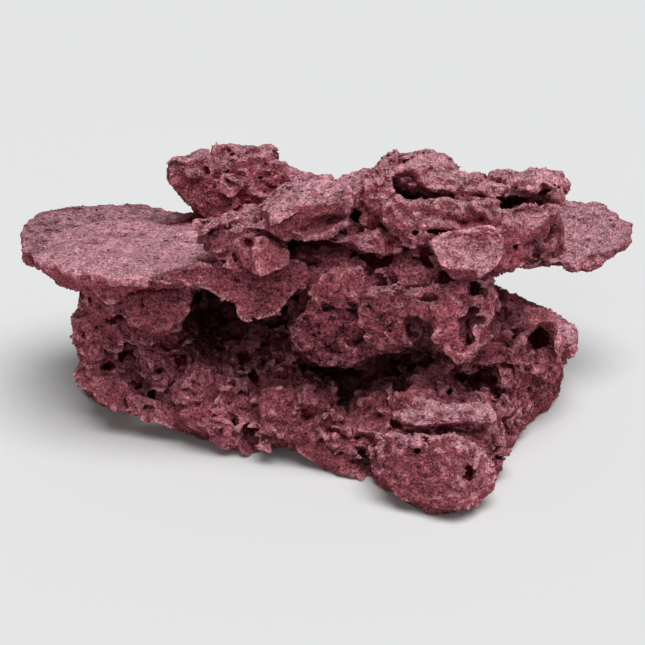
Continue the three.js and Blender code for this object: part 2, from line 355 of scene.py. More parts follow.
LOBES = [
    # left shelf, far sheet
    Lobe(
        [(-195, 17), (-201, 66), (-193, 97), (-171, 106), (-144, 108), (-124, 108), (-90, 79), (-93, 66),
         (-104, 57), (-139, 70), (-159, 59), (-173, 39), (-180, 13), (-180, -5)],
        front=114, lean=90, dome=1, rim=4, wear=0.5, gap=0, tone=-0.55,
    ),
    # left shelf, near sheet
    Lobe(
        [(-178, -22), (-176, 0), (-169, 24), (-156, 44), (-136, 54), (-116, 48), (-101, 38), (-91, 46),
         (-75, 36), (-71, 8), (-75, -25), (-82, -46), (-98, -58), (-121, -56), (-142, -46), (-158, -38),
         (-171, -32)],
        front=121, lean=90, dome=1, rim=5, wear=0.3, gap=0, tone=0.4,
    ),
    # drip under the shelf
    Lobe(
        [(-144, 89), (-135, 91), (-122, 89), (-122, 83), (-128, 77), (-132, 81), (-138, 85)],
        front=77, lean=20, dome=2, rim=3, tone=0.6,
    ),
    # lobe under the shelf
    Lobe(
        [(-120, 93), (-107, 96), (-92, 95), (-82, 92), (-83, 83), (-89, 73), (-96, 67), (-104, 66),
         (-113, 69), (-120, 72), (-126, 80), (-124, 87)],
        front=68, lean=16, dome=4, rim=3, wear=0.5, gap=5, tone=0.3,
    ),
    # left block, top
    Lobe(
        [(-162, 60), (-158, 69), (-150, 73), (-140, 70), (-135, 63), (-142, 55), (-152, 52), (-159, 55)],
        front=39, lean=30, dome=5, rim=6, wear=0.9, gap=0, tone=1.2,
    ),
    # left block, middle
    Lobe(
        [(-159, 58), (-144, 63), (-133, 59), (-130, 50), (-138, 44), (-150, 43), (-158, 47)],
        front=18, lean=15, dome=5, rim=6, wear=0.9, gap=0, tone=1.1,
    ),
    # left block, low
    Lobe(
        [(-163, 37), (-152, 42), (-138, 36), (-125, 31), (-121, 21), (-133, 18), (-151, 22), (-160, 28)],
        front=12, lean=10, dome=5, rim=8, wear=0.9, gap=0, tone=1.0,
    ),
    # left block, right
    Lobe(
        [(-120, 44), (-112, 49), (-99, 45), (-93, 35), (-97, 23), (-108, 20), (-118, 28)],
        front=27, lean=20, dome=5, rim=8, wear=0.9, gap=0, tone=1.0,
    ),
    # apron
    Lobe(
        [(-105, 100), (-90, 104), (-76, 109), (-62, 109), (-48, 104), (-28, 109), (-17, 110), (-13, 101),
         (-15, 94), (-21, 93), (-26, 86), (-31, 80), (-41, 77), (-50, 74), (-55, 79), (-61, 86),
         (-70, 92), (-82, 95), (-96, 96)],
        front=85, lean=16, dome=-1.5, rim=3.5, lines=0.6, wear=0.25, gap=5, tone=-0.65,
    ),
    # wedge, back
    Lobe(
        [(-70, 102), (-64, 107), (-54, 111), (-46, 115), (-34, 112), (-29, 105), (-29, 96), (-38, 89),
         (-42, 82), (-54, 87), (-63, 92), (-68, 95)],
        front=115, lean=26, turn=-8, dome=2, rim=6, wear=0.8, gap=5, tone=0.1,
    ),
    # wedge, left facet
    Lobe(
        [(-18, 124), (-12, 129), (-3, 130), (4, 108), (-3, 110), (-12, 115)],
        front=101, lean=10, turn=-34, dome=0.3, rim=4, wear=0.1, gap=3, tone=0.3,
    ),
    # wedge, right facet
    Lobe(
        [(-70, 130), (-59, 131), (-49, 123), (-47, 118), (-50, 112), (-58, 110), (-69, 107)],
        front=77, lean=16, turn=26, dome=0.3, rim=4, wear=0.12, gap=0, tone=0.2,
    ),
    # knob
    Lobe(
        [(-37, 68), (-36, 78), (-28, 87), (-19, 95), (-8, 101), (1, 100), (8, 96), (10, 87), (10, 78),
         (0, 80), (-11, 78), (-21, 74), (-31, 70)],
        front=156, lean=42, dome=1.5, rim=8, wear=0.4, gap=0, tone=0.3,
    ),
    # knob, front
    Lobe(
        [(-38, 149), (-36, 153), (-31, 155), (-21, 159), (-11, 163), (0, 164), (9, 162), (10, 157),
         (7, 149), (-1, 142), (-8, 141), (-16, 143), (-24, 140), (-33, 142)],
        front=69, lean=2, dome=1.5, rim=4, wear=0.6, tone=-0.2,
    ),
    # post
    Lobe(
        [(15, 162), (22, 166), (31, 165), (35, 156), (33, 145), (35, 137), (27, 130), (21, 136),
         (15, 147)],
        front=79, lean=15, dome=5, rim=4, gap=0,
    ),
    # ledge beside the knob
    Lobe(
        [(-3, 101), (6, 108), (18, 110), (29, 108), (39, 104), (40, 97), (33, 93), (25, 95), (18, 94),
         (9, 97)],
        front=108, lean=28, dome=2, rim=8, wear=0.75, gap=3, tone=-0.2,
    ),
    # roof slab
    Lobe(
        [(33, 111), (48, 113), (50, 118), (59, 117), (70, 109), (82, 104), (103, 102), (118, 106),
         (128, 105), (131, 98), (126, 94), (117, 93), (111, 90), (103, 90), (93, 90), (85, 92), (76, 92),
         (68, 89), (63, 91), (55, 91), (47, 92), (42, 97), (38, 103)],
        front=142, lean=45, dome=2.5, rim=4, wear=0.5, gap=2, tone=0.35,
    ),
    # roof, right end
    Lobe(
        [(109, 127), (117, 125), (121, 113), (118, 107), (109, 106), (106, 113)],
        front=128, lean=25, turn=25, dome=3, rim=5, gap=0,
    ),
    # bulge over the dish
    Lobe(
        [(28, 147), (42, 147), (65, 146), (87, 147), (96, 141), (99, 130), (95, 122), (82, 123),
         (65, 123), (51, 119), (40, 121), (31, 128), (27, 138)],
        front=88, lean=14, dome=3, rim=10, wear=0.8, gap=0,
    ),
    # dish
    Lobe(
        [(53, 90), (65, 96), (81, 99), (92, 95), (95, 85), (92, 76), (85, 70), (75, 67), (67, 68),
         (60, 73), (56, 81)],
        front=127, lean=32, dome=-4, rim=9, lines=0.55, wear=0.4, gap=1, tone=0.5,
    ),
    # lobe over the right shelf
    Lobe(
        [(69, 128), (87, 130), (108, 130), (109, 122), (103, 115), (95, 107), (86, 99), (76, 96),
         (67, 100), (65, 110)],
        front=122, lean=16, turn=22, dome=4, rim=3, gap=0,
    ),
    # lower lip
    Lobe(
        [(-25, 75), (-19, 84), (-8, 94), (6, 92), (18, 83), (38, 75), (52, 77), (59, 72), (56, 67),
         (41, 63), (26, 59), (9, 56), (-7, 54), (-15, 58), (-21, 65)],
        front=84, lean=12, dome=1, rim=3, wear=0.6, gap=5, tone=-1.2,
    ),
    # middle lobe
    Lobe(
        [(-9, 112), (1, 115), (10, 113), (18, 104), (19, 89), (13, 82), (2, 84), (-7, 89), (-11, 101)],
        front=90, lean=14, dome=4, rim=3, wear=0.65, gap=3, tone=-0.2,
    ),
    # lip edges
    Lobe(
        [(18, 40), (34, 40), (48, 38), (63, 42), (77, 45), (79, 38), (63, 32), (48, 30), (34, 32),
         (19, 33)],
        front=127, lean=45, dome=1, rim=2.5, wear=0.4, gap=3,
    ),
    # flap, middle
    Lobe(
        [(13, 101), (21, 106), (37, 105), (55, 102), (58, 89), (56, 75), (39, 69), (24, 72), (15, 79)],
        front=84, lean=8, dome=1.5, rim=3, wear=0.65, gap=4, tone=-0.6,
    ),
    # drop
    Lobe(
        [(54, 97), (68, 97), (76, 89), (81, 76), (81, 64), (76, 57), (69, 56), (62, 63), (56, 69),
         (52, 81)],
        front=92, lean=12, dome=2, rim=3, wear=0.5, gap=0, tone=0.2,
    ),
    # pitted column
    Lobe(
        [(57, 103), (66, 106), (74, 106), (79, 95), (77, 84), (71, 73), (66, 64), (60, 70), (56, 85)],
        front=100, lean=12, turn=12, dome=4, rim=4, gap=0,
    ),
    # shoulder, top
    Lobe(
        [(113, 62), (124, 65), (136, 63), (143, 56), (138, 49), (128, 52), (117, 50), (112, 56)],
        front=44, lean=40, dome=4, rim=5, wear=0.9, gap=0, tone=1.1,
    ),
    # shoulder, tip
    Lobe(
        [(127, 51), (138, 45), (148, 32), (144, 26), (132, 25), (126, 31), (124, 42)],
        front=68, lean=20, turn=25, dome=4, rim=5, wear=0.9, gap=0, tone=0.9,
    ),
    # shoulder, low
    Lobe(
        [(115, 40), (132, 35), (140, 25), (138, 13), (127, 6), (117, 14), (111, 27)],
        front=37, lean=15, turn=15, dome=4, rim=8, wear=0.9, gap=0, tone=0.9,
    ),
    # behind the toe
    Lobe(
        [(79, 9), (94, 9), (105, 2), (104, -9), (92, -13), (80, -7)],
        front=75, lean=15, turn=25, dome=4, rim=8, wear=0.9, gap=0,
    ),
    # step
    Lobe(
        [(36, -23), (51, -17), (68, -18), (85, -19), (93, -24), (91, -32), (81, -30), (68, -31),
         (54, -33), (40, -32)],
        front=101, lean=44, dome=2, rim=4, wear=0.45, tone=0.2,
    ),
    # toe, front
    Lobe(
        [(64, 12), (75, 19), (92, 24), (112, 27), (115, 17), (114, 3), (117, -8), (116, -15), (103, -16),
         (89, -17), (80, -17), (72, -10), (64, 0)],
        front=88, lean=16, turn=-24, dome=1, rim=4, wear=0.5, gap=0, tone=-0.1,
    ),
    # toe, right
    Lobe(
        [(-33, 22), (-20, 13), (-6, -2), (-6, -14), (-19, -22), (-36, -21), (-35, -2)],
        front=139, lean=12, turn=44, dome=1, rim=4, wear=0.4, gap=0, tone=0.6,
    ),
    # toe, knob
    Lobe(
        [(41, -15), (46, -13), (52, -15), (51, -20), (45, -22), (42, -19)],
        front=120, lean=30, dome=3, rim=6, wear=0.8, gap=3, tone=0.3,
    ),
    # foot, left end
    Lobe(
        [(-148, 30), (-132, 25), (-118, 14), (-100, 8), (-90, -2), (-95, -6), (-112, 0), (-130, 8),
         (-145, 14), (-152, 22)],
        front=36, lean=30, dome=4, rim=8, wear=0.75, gap=0, tone=0.3,
    ),
    # foot cone
    Lobe(
        [(-92, 17), (-83, 33), (-75, 40), (-66, 36), (-58, 21), (-52, 4), (-56, -8), (-65, -13),
         (-77, -4), (-90, 5)],
        front=54, dome=8, rim=10, wear=1.0, gap=0, tone=0.4,
    ),
    # foot, middle
    Lobe(
        [(-46, 24), (-34, 30), (-20, 27), (-11, 16), (-9, -2), (-17, -9), (-28, -6), (-42, -2), (-48, 10)],
        front=66, lean=20, dome=8, rim=10, wear=1.0, gap=0, tone=-0.2,
    ),
    # foot, under the gap
    Lobe(
        [(-9, 13), (7, 11), (21, 13), (30, 5), (26, -9), (11, -16), (-3, -16), (-10, -3)],
        front=78, dome=8, rim=10, wear=1.0, gap=0,
    ),
    # crumbs right of the gap
    Lobe(
        [(25, 2), (36, 8), (48, 14), (61, 21), (69, 18), (66, 11), (58, 2), (42, -2), (30, -4)],
        front=70, lean=35, dome=6, rim=8, wear=1.0, gap=0,
    ),
    # fin
    Lobe(
        [(-105, 162), (-101, 170), (-93, 170), (-79, 171), (-73, 177), (-57, 175), (-48, 176), (-39, 173),
         (-37, 168), (-29, 163), (-19, 160), (-16, 153), (-27, 132), (-45, 128), (-62, 131), (-78, 129),
         (-87, 134), (-93, 139), (-100, 148), (-103, 153)],
        front=-13, lean=14, dome=4, rim=7, gap=0,
    ),
    # ring on the fin
    Lobe(
        round_outline(centre=(-64.5, 151.8), half=(8.5, 8.05), corners=10),
        front=-8, lean=14, dome=1, rim=4, wear=0.5, gap=3,
    ),
]

CALM_PARTS = [
    # where the stone meets the ground
    Calm(centre=(0, 0, 0), half=(320, 320, 15), left=0.35),
    # left shelf
    Calm(centre=(-132, 52, 118), half=(98, 96, 18)),
    # right shelf
    Calm(centre=(165, 82, 108), half=(56, 56, 22), left=0.45),
    # dish
    Calm(centre=(80, -70, 140), half=(38, 26, 14), left=0.15),
    # toe
    Calm(centre=(60, -110, 28), half=(42, 36, 36), left=0.45),
]

# ---- Sizes of the weathering, in millimetres ----------------------------------------------------

# The solid's flat facets are blurred, and its skin drawn in, which leaves room for the lumps.
FACETS_BLURRED = 2.2
DRAWN_IN = 0.5

# What frays the outlines of forms, how much of it each kind of form takes, and the share of it that a
# lobe without wear keeps.
FRAY = (Layer(1.1, (9, 9, 8), 1), Layer(0.7, (4, 4, 3.5), 2))
HOLLOW_FRAY = 0.8
LOBE_FRAY = 0.7
PIT_FRAY = 0.9
CRISP_FRAY = 0.3

# How forms meet the stone: over what distance they blend, and how steep their floors, faces and backs are.
SOFT = 1.2
FLOOR_SLOPE = 0.8
FACE_SLOPE = 0.85
BACK_SLOPE = 0.65

# An outline's corners are cut off at this share of its sides, and a calm region ends between these shares
# of its size.
CORNER_EASE = 0.25
CALM_FADE = (0.75, 1.05)

# A lobe's shadow gap hangs lower and reaches a little wider than the lobe.
GAP_DROP = 3
GAP_WIDER = 1
# A lobe domes over this distance from its lip, thickens by this much for each millimetre inwards, and is
# worked out this far behind its back.
DOME_REACH = 6
THICKENING = 1.2
BEHIND_LOBE = 10
# Growth lines: how closely they follow each other, in radians for each millimetre, and how far they reach.
LINE_TURN = 2.4
LINE_REACH = 14
# Outside a lobe, its wear and its tone, which is partly painted light and shade, fade between these
# distances.
WEAR_FADE = (1, 5)
TONE_AND_LIGHT_FADE = (1, 4)
# A hollow is cut this far out from its floor, and its floor rounds up over this distance.
HOLLOW_OUT = 110
BOWL_REACH = 4
# How clear of stone the way up from a place must be for it to see the sky, and how far shade is blurred.
SKY_FADE = (0, 5)
SKY_BLUR = 4

# The skin that weathers: this far into the stone and out of it, with its noise pulled about.
SKIN_INWARD = 7.5
SKIN_OUTWARD = 4.5
WARP = Layer(2.0, (9, 9, 9), 20)
# Rounded hollows between ridges above, lumps on the foot, small ones all over, and the mean of each.
RIDGED = (Layer(1.8, (24, 24, 11), 21), Layer(1.6, (11, 11, 8), 22))
RIDGED_MEAN = 2.5
LUMPY = (Layer(1.7, (17, 17, 12), 23), Layer(1.0, (8, 8, 7), 24))
LUMPY_MEAN = 2.1
SMALL = Layer(1.2, (5.2, 5.2, 4.4), 25)
SMALL_MEAN = 0.9
# The foot ends between these heights, on a line that wanders.
FOOT_TOP = (48, 72)
FOOT_WANDER = Layer(6, (30, 30, 20), 19)

# Cracks and pits crowd together in places, and there are more of them on the foot.
CROWDS = Layer(1, (34, 34, 26), 45)
CRACKS = Layer(4, (17, 17, 10), 47)
CRACK_SLOPE = 9
CRACK_WIDTH = 0.09
CRACK_CROWDING = 0.08
CRACKED_SHARE = 0.8
# Pits, larger and smaller: how deep they go, over what spans, and how rare they are.
LARGER_PITS = Layer(6, (8, 8, 6), 46)
LARGER_RARITY = 2.0
SMALLER_PITS = Layer(4.5, (5, 5, 4), 56)
SMALLER_RARITY = 1.5
PIT_CROWDING = 0.4
PIT_SPARING = 2.2
PIT_SLOPE = 0.42

# Scoops are random, wide and flat bites out of the surface.
SCOOPS = 130
SCOOP_SEED = 11
SCOOP_RADII = (4.5, 8.5)
SCOOP_LIFT = 0.6
SCOOP_SQUASH = (1.2, 1.2, 0.8)


# ---- Stone held as distances --------------------------------------------------------------------


def spread(values, axis, taps):
    """The values picked along one axis, weighted and summed, one (places, weights) tap at a time."""
    shape = [1, 1, 1]
    shape[axis] = -1
    total = 0
    for places, weights in taps:
        total = total + np.take(values, places, axis) * np.asarray(weights, np.float32).reshape(shape)
    return total


def smooth_step(low, high, values):
    """0 below low, 1 above high, and a smooth rise in between."""
    t = np.clip((values - low) / (high - low), 0, 1)
    return t * t * (3 - 2 * t)


def outline_distance(u, v, outline):
    """Distances from places on a board to an outline drawn on it, negative inside. Its corners are eased."""
    corners = np.asarray(outline, float)
    after = np.roll(corners, -1, 0)
    near, far = 1 - CORNER_EASE, CORNER_EASE
    corners = np.stack([near * corners + far * after, far * corners + near * after], 1).reshape(-1, 2)
    nearest = np.float32(1e9)
    inside = np.zeros(np.broadcast(u, v).shape, bool)
    for (ax, ay), (bx, by) in zip(corners.tolist(), np.roll(corners, -1, 0).tolist()):
        ex, ey = bx - ax, by - ay
        pu, pv = u - ax, v - ay
        along = np.clip((pu * ex + pv * ey) / (ex * ex + ey * ey), 0, 1)
        nearest = np.minimum(nearest, (pu - ex * along) ** 2 + (pv - ey * along) ** 2)
        if ey:
            inside ^= ((ay > v) != (by > v)) & (pu < pv * (ex / ey))
    return np.where(inside, -1, 1) * np.sqrt(nearest)


def board_axes(lean, turn):
    """Across, up and out of a board that leans back and is turned about Z, in degrees."""
    lean, turn = math.radians(lean), math.radians(turn)
    across = np.array([math.cos(turn), math.sin(turn), 0])
    up = np.array([-math.sin(turn) * math.sin(lean), math.cos(turn) * math.sin(lean), math.cos(lean)])
    return across, up, np.cross(across, up)


class DistanceBlock:
    """A solid as a block of distances to its surface, in millimetres, negative inside the stone."""

    BAND = 14.0
    MARGIN = 9.0
    NOISE_MARGIN = 3
    BLUR_SIGMAS = 2.6
    SKIN_CELLS = 0.6

    def __init__(self, mesh, voxel):
        points = vertex_points(mesh) * np.float32(MM)
        mesh.calc_loop_triangles()
        triangles = np.empty(len(mesh.loop_triangles) * 3, np.int32)
        mesh.loop_triangles.foreach_get("vertices", triangles)
        grid = openvdb.FloatGrid.createLevelSetFromPolygons(
            points,
            triangles=triangles.reshape(-1, 3).astype(np.uint32),
            transform=openvdb.createLinearTransform(voxelSize=voxel),
            halfWidth=self.BAND / voxel,
        )
        self.voxel = voxel
        self.origin = points.min(0) - self.MARGIN - self.NOISE_MARGIN
        self.low = np.floor((points.min(0) - self.MARGIN) / voxel).astype(int)
        high = np.ceil((points.max(0) + self.MARGIN) / voxel).astype(int)
        self.depth = np.empty(tuple(high - self.low + 1), np.float32)
        grid.copyToArray(self.depth, ijk=tuple(int(v) for v in self.low))
        self.share = np.ones(self.depth.shape, np.float32)
        self.tone = np.zeros(self.depth.shape, np.float32)

    def axis(self, k, part=slice(None)):
        """Where cells lie along one axis, shaped to spread over the block."""
        shape = [1, 1, 1]
        shape[k] = -1
        places = (self.low[k] + np.arange(self.depth.shape[k])) * self.voxel
        return places[part].astype(np.float32).reshape(shape)

    def noise(self, layer):
        """Smooth random values over the block, by a cubic spline through random points on a lattice."""
        rows = []
        for k, span in enumerate(layer.spans):
            place = (self.axis(k).ravel() - self.origin[k]) / span
            cell = place.astype(int)
            f = place - cell
            weights = ((1 - f) ** 3, 3 * f**3 - 6 * f**2 + 4, -3 * f**3 + 3 * f**2 + 3 * f + 1, f**3)
            rows.append([(cell + n, weight / 6) for n, weight in enumerate(weights)])
        counts = [row[-1][0][-1] + 1 for row in rows]
        values = np.random.default_rng(layer.seed).standard_normal(counts, np.float32)
        for k, taps in enumerate(rows):
            values = spread(values, k, taps)
        return layer.reach * (values / values.std())

    def blurred(self, values, sigma):
        """The values averaged over about sigma millimetres."""
        sigma = sigma / self.voxel
        reach = math.ceil(self.BLUR_SIGMAS * sigma)
        offsets = range(-reach, reach + 1)
        weights = np.exp([-0.5 * (n / sigma) ** 2 for n in offsets])
        weights /= weights.sum()
        for k, count in enumerate(values.shape):
            places = [np.clip(np.arange(count) + n, 0, count - 1) for n in offsets]
            values = spread(values, k, zip(places, weights))
        return values

    def egg(self, centre, half):
        """How far out of an egg-shaped region each cell lies: 0 at its middle and 1 at its skin."""
        parts = [((self.axis(k) - centre[k]) / half[k]) ** 2 for k in range(3)]
        return np.sqrt(parts[0] + parts[1] + parts[2])

    def cells_of(self, points):
        """Points in millimetres as places in the block."""
        return points / self.voxel - self.low

    def sample(self, values, points):
        """The block's values at points in millimetres, read between its cells."""
        just_inside = np.array(values.shape) - 1.001
        place = np.clip(self.cells_of(points), 0, just_inside)
        cell = place.astype(int)
        f = (place - cell).astype(np.float32)
        total = np.zeros(len(points), np.float32)
        for corner in np.ndindex(2, 2, 2):
            weight = np.prod(np.where(corner, f, 1 - f), axis=1)
            total += weight * values[tuple((cell + corner).T)]
        return total

    def slope(self, points, reach):
        """Directions out of the stone at points near its surface."""
        steps = np.eye(3) * reach
        rise = [self.sample(self.depth, points + s) - self.sample(self.depth, points - s) for s in steps]
        out = np.stack(rise, 1)
        return out / np.maximum(np.linalg.norm(out, axis=1, keepdims=True), 1e-6)

    def surface_points(self, count, rng):
        """Random points on the stone's surface and the directions out of it there."""
        cells = np.argwhere(np.abs(self.depth) < self.SKIN_CELLS * self.voxel)
        chosen = cells[rng.choice(len(cells), count, replace=False)]
        points = (chosen + self.low) * self.voxel + rng.uniform(-0.5, 0.5, (count, 3)) * self.voxel
        return points, self.slope(points, 2 * self.voxel)

    def region(self, low, high):
        """The part of the block between two corners in millimetres."""
        start = np.maximum(np.floor(self.cells_of(np.asarray(low))).astype(int), 0)
        stop = np.minimum(np.ceil(self.cells_of(np.asarray(high))).astype(int) + 1, self.depth.shape)
        return tuple(slice(a, max(a, b)) for a, b in zip(start.tolist(), stop.tolist()))

    def merge(self, part, away, cut, soft=SOFT):
        """Joins a shape, given by the distances to it, to part of the block, or cuts it out of it."""
        sign = -1 if cut else 1
        here = self.depth[part] * sign
        blend = np.clip(0.5 + 0.5 * (away - here) / soft, 0, 1)
        joined = away * (1 - blend) + here * blend - soft * blend * (1 - blend)
        self.depth[part] = sign * joined

    def cut_egg(self, centre, half, fray, soft=0.8):
        """Cuts an upright egg out of the stone."""
        part = self.region(centre - half - 3 * soft, centre + half + 3 * soft)
        scaled = [((self.axis(k, part[k]) - centre[k]) / half[k]) for k in range(3)]
        away = (np.sqrt(scaled[0] ** 2 + scaled[1] ** 2 + scaled[2] ** 2) - 1) * half.min()
        away = away + fray[part]
        if away.size:
            self.merge(part, away, True, soft)

    def on_board(self, form, near, far, pad):
        """The part of the block in front of an outline on a board, and its cells' places on the board."""
        axes = board_axes(form.lean, form.turn)
        outline = np.asarray(form.outline, float)
        corners = [u * axes[0] + v * axes[1] + w * axes[2] for u, v in outline for w in (near, far)]
        part = self.region(np.min(corners, 0) - pad, np.max(corners, 0) + pad)
        x, y, z = (self.axis(k, part[k]) for k in range(3))
        return part, [x * np.float32(a[0]) + y * np.float32(a[1]) + z * np.float32(a[2]) for a in axes]

    def add_lobe(self, lobe, fray):
        """Adds a lobe: domed in front, thin at its lip and thicker inwards, over a shadow gap below it."""
        back = lobe.front - lobe.dome - lobe.gap
        fray = fray * (CRISP_FRAY + (1 - CRISP_FRAY) * lobe.wear)
        part, (u, v, w) = self.on_board(lobe, back - BEHIND_LOBE, lobe.front, pad=7)
        if lobe.gap:
            moat = outline_distance(u, v + GAP_DROP, lobe.outline) - GAP_WIDER + fray[part]
            self.merge(part, np.maximum(moat, (back - w) * FLOOR_SLOPE), True)
        edge = outline_distance(u, v, lobe.outline) + fray[part]
        inside = np.maximum(-edge, 0)
        face = lobe.front - lobe.dome * np.exp(-inside / DOME_REACH)
        if lobe.lines:
            face += lobe.lines * np.sin(inside * LINE_TURN) * np.exp(-inside / LINE_REACH)
        behind = face - lobe.rim - THICKENING * inside
        away = np.maximum(edge, np.maximum((w - face) * FACE_SLOPE, (behind - w) * BACK_SLOPE))
        self.merge(part, away, False)
        worn = lobe.wear + (1 - lobe.wear) * smooth_step(*WEAR_FADE, away)
        self.share[part] = np.minimum(self.share[part], worn)
        # The lobe's tone is spread over the block: partly its own colour, partly painted light and shade.
        self.tone[part] += (lobe.tone - self.tone[part]) * (1 - smooth_step(*TONE_AND_LIGHT_FADE, away))

    def cut_hollow(self, hollow, fray):
        """Cuts a hollow, with a rounded floor, from in front of the stone."""
        part, (u, v, w) = self.on_board(hollow, hollow.floor, hollow.floor + HOLLOW_OUT, pad=5)
        edge = outline_distance(u, v, hollow.outline) + fray[part]
        floor = hollow.floor + hollow.bowl * np.exp(-np.maximum(-edge, 0) / BOWL_REACH)
        self.merge(part, np.maximum(edge, (floor - w) * FLOOR_SLOPE), True)

    def filling(self, sigma):
        """How much stone lies within about sigma millimetres of each cell, from 0 to 1."""
        return self.blurred(np.clip(0.5 - self.depth / (2 * self.voxel), 0, 1), sigma)

    def open_sky(self):
        """How open each cell is to the sky, from 0 under an overhang to 1 in the open."""
        above = np.minimum.accumulate(self.depth[:, :, ::-1], 2)[:, :, ::-1]
        return self.blurred(smooth_step(*SKY_FADE, above).astype(np.float32), SKY_BLUR)

    def to_mesh(self, name):
        """The stone's surface as a mesh in metres, with any loose crumbs left out."""
        grid = openvdb.FloatGrid(self.BAND)
        grid.transform = openvdb.createLinearTransform(voxelSize=self.voxel)
        grid.copyFromArray(self.depth, ijk=tuple(int(v) for v in self.low))
        points, triangles, quads = grid.convertToPolygons()
        triangles = np.concatenate([triangles, quads[:, [0, 1, 2]], quads[:, [0, 2, 3]]]).astype(int)
        triangles = largest_piece(triangles, len(points))[:, ::-1]
        used = np.unique(triangles)
        renumber = np.zeros(len(points), np.int32)
        renumber[used] = np.arange(len(used))
        return new_mesh(name, points[used] / MM, renumber[triangles])


# ---- Meshes as arrays ---------------------------------------------------------------------------

JUST_BEHIND = -0.1


def largest_piece(triangles, count):
    """The triangles of the largest connected surface. Each point takes the lowest number it touches."""
    group = np.arange(count)
    while True:
        before = group.copy()
        lowest = group[triangles].min(1)
        for corner in range(3):
            np.minimum.at(group, triangles[:, corner], lowest)
        group = group[group]
        if (group == before).all():
            break
    sizes = np.bincount(group[triangles[:, 0]], minlength=count)
    return triangles[group[triangles[:, 0]] == sizes.argmax()]


def new_mesh(name, points, triangles):
    """A mesh of triangles from arrays."""
    mesh = bpy.data.meshes.new(name)
    mesh.vertices.add(len(points))
    mesh.vertices.foreach_set("co", np.ascontiguousarray(points, np.float32).ravel())
    mesh.loops.add(triangles.size)
    mesh.loops.foreach_set("vertex_index", np.ascontiguousarray(triangles, np.int32).ravel())
    mesh.polygons.add(len(triangles))
    mesh.polygons.foreach_set("loop_start", np.arange(0, triangles.size, 3, dtype=np.int32))
    mesh.update(calc_edges=True)
    mesh.validate()
    return mesh


def vertex_points(mesh):
    """A mesh's vertices as an array."""
    points = np.empty(len(mesh.vertices) * 3, np.float32)
    mesh.vertices.foreach_get("co", points)
    return points.reshape(-1, 3)


def face_corners(mesh):
    """The vertex numbers of each of a mesh's triangles."""
    corners = np.empty(len(mesh.loops), np.int32)
    mesh.loops.foreach_get("vertex_index", corners)
    return corners.reshape(-1, 3)


def set_field(mesh, name, values):
    """Gives each vertex of a mesh a number, for its material."""
    field = mesh.attributes.new(name, "FLOAT", "POINT")
    field.data.foreach_set("value", np.ascontiguousarray(values, np.float32))


def get_field(mesh, name):
    """The numbers that a mesh's vertices were given."""
    values = np.empty(len(mesh.vertices), np.float32)
    mesh.attributes[name].data.foreach_get("value", values)
    return values


def faces_front(directions, front):
    """Whether directions point to the front, or only just away from it."""
    return directions @ np.asarray(front) > JUST_BEHIND


def thinned(obj, most, towards, share):
    """Thins the object's mesh to a number of triangles, leaving a given share of them on its front half."""
    for front in (False, True, None):
        mesh = obj.data
        points = vertex_points(mesh)
        middle = (points.min(0) + points.max(0)) / 2
        chosen = faces_front((points - middle) / (points.max(0) - middle), towards) == front
        faces = chosen[face_corners(mesh)].all(1).sum()
        goal = most if front is not False else len(mesh.polygons) - faces + most * (1 - share)
        modifier = obj.modifiers.new("Thin", "DECIMATE")
        if front is not None:
            obj.vertex_groups.clear()
            obj.vertex_groups.new(name="thin").add(np.nonzero(chosen)[0].tolist(), 1.0, "REPLACE")
            modifier.vertex_group = "thin"
        modifier.ratio = min(1.0, goal / len(mesh.polygons))
        graph = bpy.context.evaluated_depsgraph_get()
        graph.update()
        obj.data = bpy.data.meshes.new_from_object(obj.evaluated_get(graph))
        obj.modifiers.clear()
    obj.vertex_groups.clear()


# ---- Sculpting ----------------------------------------------------------------------------------


